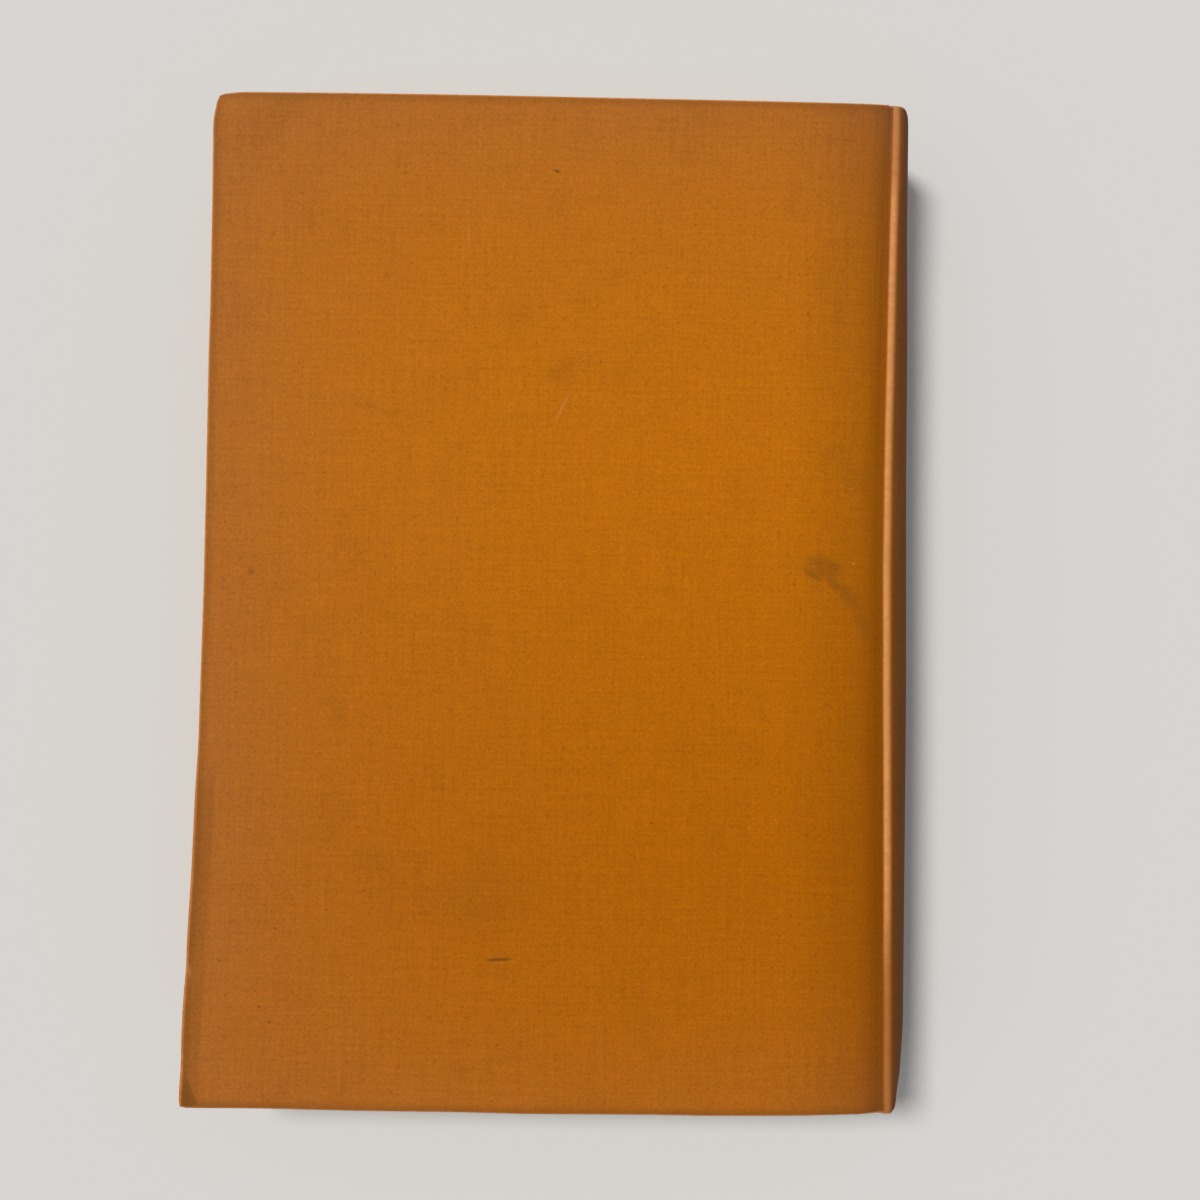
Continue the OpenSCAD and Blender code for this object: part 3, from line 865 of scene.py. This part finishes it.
def makeLeaves():
    deep = leaves["hollow"]
    foreX = pagesLow.x
    foreRound = (pageZ * pageZ + deep * deep) / (2 * deep)
    lipTop = lipZ + leaves["lipRound"]
    backRound = backRadius()
    total = leaves["sections"] * leaves["inSection"]
    halfPage = pagesHigh.y
    back = [hingeX + d * mm for d in leaves["shoulderSteps"]]
    bm = bmesh.new()
    tone = bm.verts.layers.float.new("leafTone")
    for section in range(leaves["sections"]):
        sectionFore = random.gauss(0, 1) * leaves["sectionJitter"]
        sectionEnd = random.gauss(0, 1) * leaves["endJitter"]
        sectionTone = random.random() * leaves["toneShares"][0]
        for k in range(leaves["inSection"]):
            t = 2 * (section * leaves["inSection"] + k + 0.5) / total - 1
            z = t * pageZ
            start = foreX + deep - foreRound + math.sqrt(foreRound ** 2 - z * z)
            start += min(0.0, sectionFore) - abs(random.gauss(0, 1)) * leaves["foreJitter"] + leaves["foreInset"]
            endZ = t * lipTop
            fold = leaves["foldDeep"] * (2 * (k + 0.5) / leaves["inSection"] - 1) ** 2
            stop = pagesHigh.x - backRound + math.sqrt(backRound ** 2 - endZ * endZ) - fold
            head = halfPage + sectionEnd - abs(random.gauss(0, 1)) * leaves["endJitter"]
            tail = -halfPage + sectionEnd + abs(random.gauss(0, 1)) * leaves["endJitter"]
            shade = sectionTone + random.random() * leaves["toneShares"][1]
            middle = [start + (boardX - start) * share for share in leaves["acrossShares"]]
            xs = [x for x in middle + back if x < stop - 0.05 * mm] + [stop]
            made = bmesh.ops.create_grid(bm, x_segments=len(xs) - 1, y_segments=leaves["rows"], size=0.5)
            for v in made["verts"]:
                x = xs[round((v.co.x + 0.5) * (len(xs) - 1))]
                level = t * leafHeight(x)
                up = min(max((level + pageZ) / (2 * pageZ), 0.0), 1.0)
                v.co = wearSpine((x, tail + (head - tail) * (v.co.y + 0.5), midZ + level))
                v.co.z += bowAt(x) * up ** leaves["bowPower"]
                v[tone] = shade
    return makePiece("leaves", bm, pageEdges, 2 * pageZ / total - leaves["gap"], smoothed=False)


pageStack = makeLeaves()
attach(pageStack, "book_block")
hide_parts("text_block")
print("leaves made:", len(pageStack.data.polygons), "faces")


# The endpapers: a flyleaf over the pages and up the shoulder, and a pastedown from the fold to the board
papers = {
    "thick": 0.2 * mm,
    "margin": 3 * mm,  # bare turned-in cloth left round a pastedown
    "mullWide": 25 * mm,
    "sink": 0.4 * mm,  # the paper lies lower on the bare board than on the turned edges
    "sinkRun": 1.3 * mm,
    "foreLift": 0.5 * mm,  # the flyleaf's fore-edge has lifted a little at its tail corner
    "liftReach": 38 * mm,
    "liftFrom": (-30 * mm, -98 * mm),
    "step": 5 * mm,  # spacing of the mesh
    "sinkStep": 0.35 * mm,  # and where the paper sinks
}


def graded(stops, steps):
    # even stations through all the stops, no further apart than the step given for each stretch
    out = [stops[0]]
    for a, b, step in zip(stops, stops[1:], steps):
        count = max(1, math.ceil(abs(b - a) / step - 0.01))
        out += [a + (b - a) * k / count for k in range(1, count + 1)]
    return out


def between(stops, step):
    return graded(stops, [step] * len(stops))


def shoulderPath(out):
    # up the pages' shoulder, at a distance from it, from its foot to the top of its lip
    lean, right = case["lean"], math.pi / 2
    points = arc(hingeX, lipZ, leaves["shoulderFoot"] - out, -right, -lean, 6)
    return points + arc(ridgeX, lipZ, leaves["lipRound"] + out, math.pi - lean, right, 4)


def sunk(x, y):
    # 0 on the turned edges and the mull, 1 on the bare board between them
    run, early = papers["sinkRun"], 0.1 * mm
    foreTurn, endTurn, mullX = edgeX + case["turnIn"], halfH - case["turnIn"], boardX - papers["mullWide"]
    inFore = smooth(foreTurn - early, foreTurn + run, x)
    inEnds = smooth(endTurn + early, endTurn - run, abs(y))
    return inFore * inEnds * smooth(mullX, mullX - run, x)


def paperSheet(name, path, ys, side, warp):
    # a sheet whose section is path, with heights above the middle plane
    bm, col, row = gridOf(len(path), len(ys))
    place = bm.verts.layers.float_vector.new("place")
    for v in bm.verts:
        x, z = path[v[col]]
        p = Vector((x, ys[v[row]], midZ + side * z))
        v[place] = p
        v.co = warp(p)
    if side < 0:
        bmesh.ops.reverse_faces(bm, faces=bm.faces)
    return makePiece(name, bm, endPaper, papers["thick"], side=0)


def makePapers(cover, side):
    half = papers["thick"] / 2
    bookY = pagesHigh.y
    foreX = pagesLow.x

    def warpLeaf(p):
        p = wearSpine(p)
        if side < 0:
            return p
        lift = bowAt(p.x)
        near = 1 - smooth(0, papers["liftReach"], p.x - foreX)
        lift += papers["foreLift"] * near * near * smooth(*papers["liftFrom"], p.y)
        return Vector((p.x, p.y, p.z + lift))

    flat = between([foreX, foreX + 6 * mm, boardX - 4 * mm, boardX], papers["step"])
    path = [(x, pageZ + half) for x in flat] + shoulderPath(half)
    fly = paperSheet(cover + "_flyleaf_sheet", path, between([-bookY, bookY], 6 * mm), side, warpLeaf)
    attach(fly, "book_block")
    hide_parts(cover + "_flyleaf")

    def warpPaste(p):
        sink = side * papers["sink"] * sunk(p.x, p.y)
        p = wearSpine(p)
        p.z += sink
        return wearBack(p) if side > 0 else p

    turned = edgeX + case["turnIn"]
    mullX = boardX - papers["mullWide"]
    step, fine = papers["step"], papers["sinkStep"]
    stops = [edgeX + papers["margin"], turned - 0.2 * mm, turned + 1.6 * mm]  # fine where the paper sinks
    stops += [mullX - 1.5 * mm, mullX + 0.2 * mm, boardX]
    path = [(x, insideZ - half) for x in graded(stops, [0.6 * step, fine, step, fine, 0.8 * step])]
    joint = [boardX + (hingeX - boardX) * k / 6 for k in range(1, 6)]
    path += [(x, insideZ - half + case["jointRise"] * (x - boardX) / (hingeX - boardX)) for x in joint]
    path += shoulderPath(3 * half)
    end = halfH - papers["margin"]
    inner = halfH - case["turnIn"]
    down = graded([0, inner - 1.7 * mm, inner + 0.2 * mm, end], [1.2 * step, fine, 0.6 * step])
    ys = [-y for y in reversed(down)] + down[1:]
    paste = paperSheet(cover + "_pastedown_sheet", path, ys, side, warpPaste)
    outer = bookT if side > 0 else 0
    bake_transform(paste, "book_block", cover + "_cover", start=(ridgeX, 0, outer), end=(boardX, 0, outer))
    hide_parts(cover + "_pastedown", cover + "_flyleaf")


makePapers("back", 1)
makePapers("front", -1)
print("endpapers made")


# Hidden pieces: copies of the solids that have taken the worn shape of what covers them
def wornCopy(node, name, finish, warp, cutsX=(), cutsY=()):
    source = frame["nodes"][node]
    bm = bmesh.new()
    bm.from_mesh(source.data)
    bmesh.ops.remove_doubles(bm, verts=bm.verts, dist=0.001 * mm)
    for places, normal in ((cutsX, Vector((1, 0, 0))), (cutsY, Vector((0, 1, 0)))):
        for at in places:
            parts = bm.verts[:] + bm.edges[:] + bm.faces[:]
            bmesh.ops.bisect_plane(bm, geom=parts, dist=0.001 * mm, plane_co=normal * at, plane_no=normal)
    for v in bm.verts:
        v.co = warp(v.co.copy())
    bmesh.ops.recalc_face_normals(bm, faces=bm.faces)
    piece = makePiece(name, bm, finish, smoothed=False)
    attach(piece, body_of(source)[0])
    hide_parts(node)
    return piece


boards = {
    "clear": 0.03 * mm,  # between a board and the cloth that falls over its edge
    "pressed": 1.2 * mm,  # only what lies further out than this gives way
    # where a copy is cut to let it bend, in mm from the fore-edge, the joint and the head
    "foreCuts": (1.0, 1.6, 2.3, 3.1, 4.5, 7.0, 10.0),
    "jointCuts": (2.4, 1.8, 1.3, 0.9, 0.55, 0.25),
    "headCuts": (12.0, 7.0, 5.0, 3.5, 2.5, 1.6),
}


def boardWarp(side):
    def warp(p):
        level = side * (p.z - midZ)
        if level > insideZ + boards["pressed"]:
            level = min(level, midZ - case["cloth"] - boards["clear"] - clothFall(p.x))
        p = roundEnds(Vector((p.x, p.y, midZ + side * level)), edgeX, case["cornerRound"])
        return wearBack(p) if side > 0 else p
    return warp


foreCuts = [edgeX + d * mm for d in boards["foreCuts"]] + between([edgeX + 14 * mm, boardX - 4 * mm], 7 * mm)
jointCuts = [boardX - d * mm for d in boards["jointCuts"]]
tailCuts = between([-halfH + 3 * mm, -60 * mm], 2.5 * mm)
headCuts = between([-54 * mm, 80 * mm], 8 * mm) + [halfH - d * mm for d in boards["headCuts"]]
wornCopy("back_board", "back_board_core", greyBoard, boardWarp(1), foreCuts + jointCuts, tailCuts + headCuts)
wornCopy("front_board", "front_board_core", greyBoard, boardWarp(-1), jointCuts)
spineCuts = between([-98 * mm, 98 * mm], 4 * mm)
wornCopy("spine_inlay", "spine_inlay_card", greyBoard, wearSpine, (), spineCuts)
wornCopy("spine_lining", "spine_lining_paper", liningPaper, wearSpine, (), spineCuts)


# The mull is cloth too: it is glued over the back of the pages, and its two flanges to the boards
def makeMull():
    shoulder = shoulderPath(papers["thick"])
    climb = sum(math.dist(a, b) for a, b in zip(shoulder, shoulder[1:]))
    radius = backRadius()
    across = 2 * radius * math.atan2(lipZ, radius - (pagesHigh.x - ridgeX))
    low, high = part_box("mull")
    piece = wornCopy("mull", "mull_gauze", mullGauze, wearSpine, (), spineCuts)
    2 * climb + across
    low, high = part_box("back_mull_flange")
    cuts = between([low.x, high.x], 4 * mm)[1:-1]
    for cover, warp in (("back", wearBack), ("front", wearSpine)):
        node = cover + "_mull_flange"
        piece = wornCopy(node, node + "_gauze", mullGauze, warp, cuts)


makeMull()
print("hidden pieces made")


# The bands at head and tail: a bead wound with thread, sewn to a tape on the back of the pages
bands = {
    "bead": 0.9 * mm,
    "beadSides": 12,
    "beadSteps": 220,
    "winding": 0.62 * mm,
    "proud": 0.07 * mm,
    "slant": 0.9,
    "tapeLong": 9 * mm,
    "tapeThick": 0.2 * mm,
    "tapeSteps": 40,
    "tapeTone": 0.4,
    "endGap": math.radians(3),
}


def makeBand(name, node, sign):
    radius = backRadius()
    centre = Vector((pagesHigh.x - radius, 0, midZ))
    sweep = math.atan2(lipZ, ridgeX - centre.x) - bands["endGap"]
    seat = pagesHigh.y
    bm = bmesh.new()
    wound = bm.verts.layers.float.new("wound")
    start = Matrix.Rotation(sweep, 4, "Y")

    def carry(ring, steps):
        for v in ring:
            v.co = centre + start @ v.co
        geom = ring + list({e for v in ring for e in v.link_edges})
        angle = -2 * sweep
        bmesh.ops.spin(bm, geom=geom, cent=centre, axis=(0, 1, 0), angle=angle, steps=steps, use_merge=False)

    ring = bmesh.ops.create_circle(bm, segments=bands["beadSides"], radius=bands["bead"])["verts"]
    beadRadius = radius + bands["tapeThick"] - bands["bead"]
    beadY = seat + bands["bead"] / 2
    for v in ring:
        v.co = Vector((beadRadius + v.co.x, beadY + v.co.y, 0))
    carry(ring, bands["beadSteps"])
    for v in bm.verts:
        away = v.co - centre
        angle = math.atan2(away.z, away.x)
        outwards = math.hypot(away.x, away.z) - beadRadius
        about = math.atan2(v.co.y - beadY, outwards)
        wave = math.sin(2 * math.pi * angle * beadRadius / bands["winding"] + bands["slant"] * about)
        grow = 1 + wave * bands["proud"] / bands["bead"]
        flatAway = Vector((away.x, 0, away.z)).normalized()
        v.co = centre + flatAway * (beadRadius + outwards * grow)
        v.co.y = max(seat, beadY + math.sin(about) * bands["bead"] * grow)
        # painted shade: the share of the darker thread colour grows into the grooves between windings
        v[wound] = 0.5 - 0.5 * wave
    tape = bmesh.ops.create_grid(bm, x_segments=1, y_segments=1, size=0.5)["verts"]
    for v in tape:
        out = radius + (bands["tapeThick"] if v.co.x > 0 else 0)
        v.co = Vector((out, seat + (bands["bead"] / 2 if v.co.y > 0 else -bands["tapeLong"]), 0))
        v[wound] = bands["tapeTone"]
    tapeFace = [f for f in bm.faces if all(v in tape for v in f.verts)]
    bmesh.ops.delete(bm, geom=tapeFace, context="FACES_ONLY")
    carry(tape, bands["tapeSteps"])
    bmesh.ops.holes_fill(bm, edges=[e for e in bm.edges if e.is_boundary], sides=0)
    for v in bm.verts:
        v.co = wearSpine((v.co.x, sign * v.co.y, v.co.z))
    bmesh.ops.recalc_face_normals(bm, faces=bm.faces)
    piece = makePiece(name, bm, bandThread)
    piece.data.set_sharp_from_angle(angle=math.radians(50))
    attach(piece, "book_block")
    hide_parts(node)


makeBand("head_band_wound", "head_band", 1)
makeBand("tail_band_wound", "tail_band", -1)
print("bands made")


# The studio: a pale floor, a soft key from the upper left and an even pale fill
studio = {
    "floorHalf": 12,  # metres from its middle to a side
    "floor": linear(216, 215, 213),
    "far": linear(215, 214, 210),  # as the floor looks far away
    "fill": (0.95, 0.97, 1.0, 1.0),
    "fillStrength": 0.36,
    "keyStrength": 2.4,
    "keyAngle": math.radians(15),  # as soft as a window a few steps away
    "keyColour": (1.0, 0.98, 0.94),
    "keyFrom": Vector((-0.52, 0.42, 1.05)),
    "cameraPlace": (3.70 * mm, -4.76 * mm, 257.67 * mm),
    "cameraTurn": (1.178, -0.941, 0.852),
    "lens": 35.0,  # mm, on Blender's own 36 mm sensor
}


def makeStudio():
    scene = bpy.context.scene
    scene.view_settings.view_transform = "Standard"
    finish = Finish("floorPaper")
    finish.set(Base_Color=studio["floor"], Roughness=0.9, Specular_IOR_Level=0.1)
    bm = bmesh.new()
    bmesh.ops.create_grid(bm, x_segments=4, y_segments=4, size=studio["floorHalf"])
    floor = makePiece("floor", bm, finish.material)

    world = bpy.data.worlds.new("studioFill")
    scene.world = world
    world.use_nodes = True
    tree = world.node_tree
    fill = tree.nodes["Background"]
    fill.inputs["Color"].default_value = studio["fill"]
    fill.inputs["Strength"].default_value = studio["fillStrength"]
    seen = tree.nodes.new("ShaderNodeBackground")
    seen.inputs["Color"].default_value = studio["far"]
    rays = tree.nodes.new("ShaderNodeLightPath")
    share = tree.nodes.new("ShaderNodeMixShader")
    link = tree.links.new
    seenBy = rays.outputs["Is Camera Ray"]
    for kind in ("Is Glossy Ray", "Is Transmission Ray"):  # reflections show the same backdrop
        either = tree.nodes.new("ShaderNodeMath")
        either.operation = "MAXIMUM"
        link(seenBy, either.inputs[0])
        link(rays.outputs[kind], either.inputs[1])
        seenBy = either.outputs[0]
    link(seenBy, share.inputs[0])
    link(fill.outputs[0], share.inputs[1])
    link(seen.outputs[0], share.inputs[2])
    link(share.outputs[0], tree.nodes["World Output"].inputs["Surface"])

    lamp = bpy.data.lights.new("key", "SUN")
    lamp.energy = studio["keyStrength"]
    lamp.angle = studio["keyAngle"]
    lamp.color = studio["keyColour"]
    key = bpy.data.objects.new("key", lamp)
    scene.collection.objects.link(key)
    key.location = studio["keyFrom"]
    key.rotation_euler = studio["keyFrom"].to_track_quat("Z", "Y").to_euler()

    lens = bpy.data.cameras.new("camera")
    lens.lens = studio["lens"]
    lens.clip_start = 0.005
    camera = bpy.data.objects.new("camera", lens)
    scene.collection.objects.link(camera)
    camera.location = studio["cameraPlace"]
    camera.rotation_euler = [math.radians(a) for a in studio["cameraTurn"]]
    scene.camera = camera


makeStudio()
print("studio made")
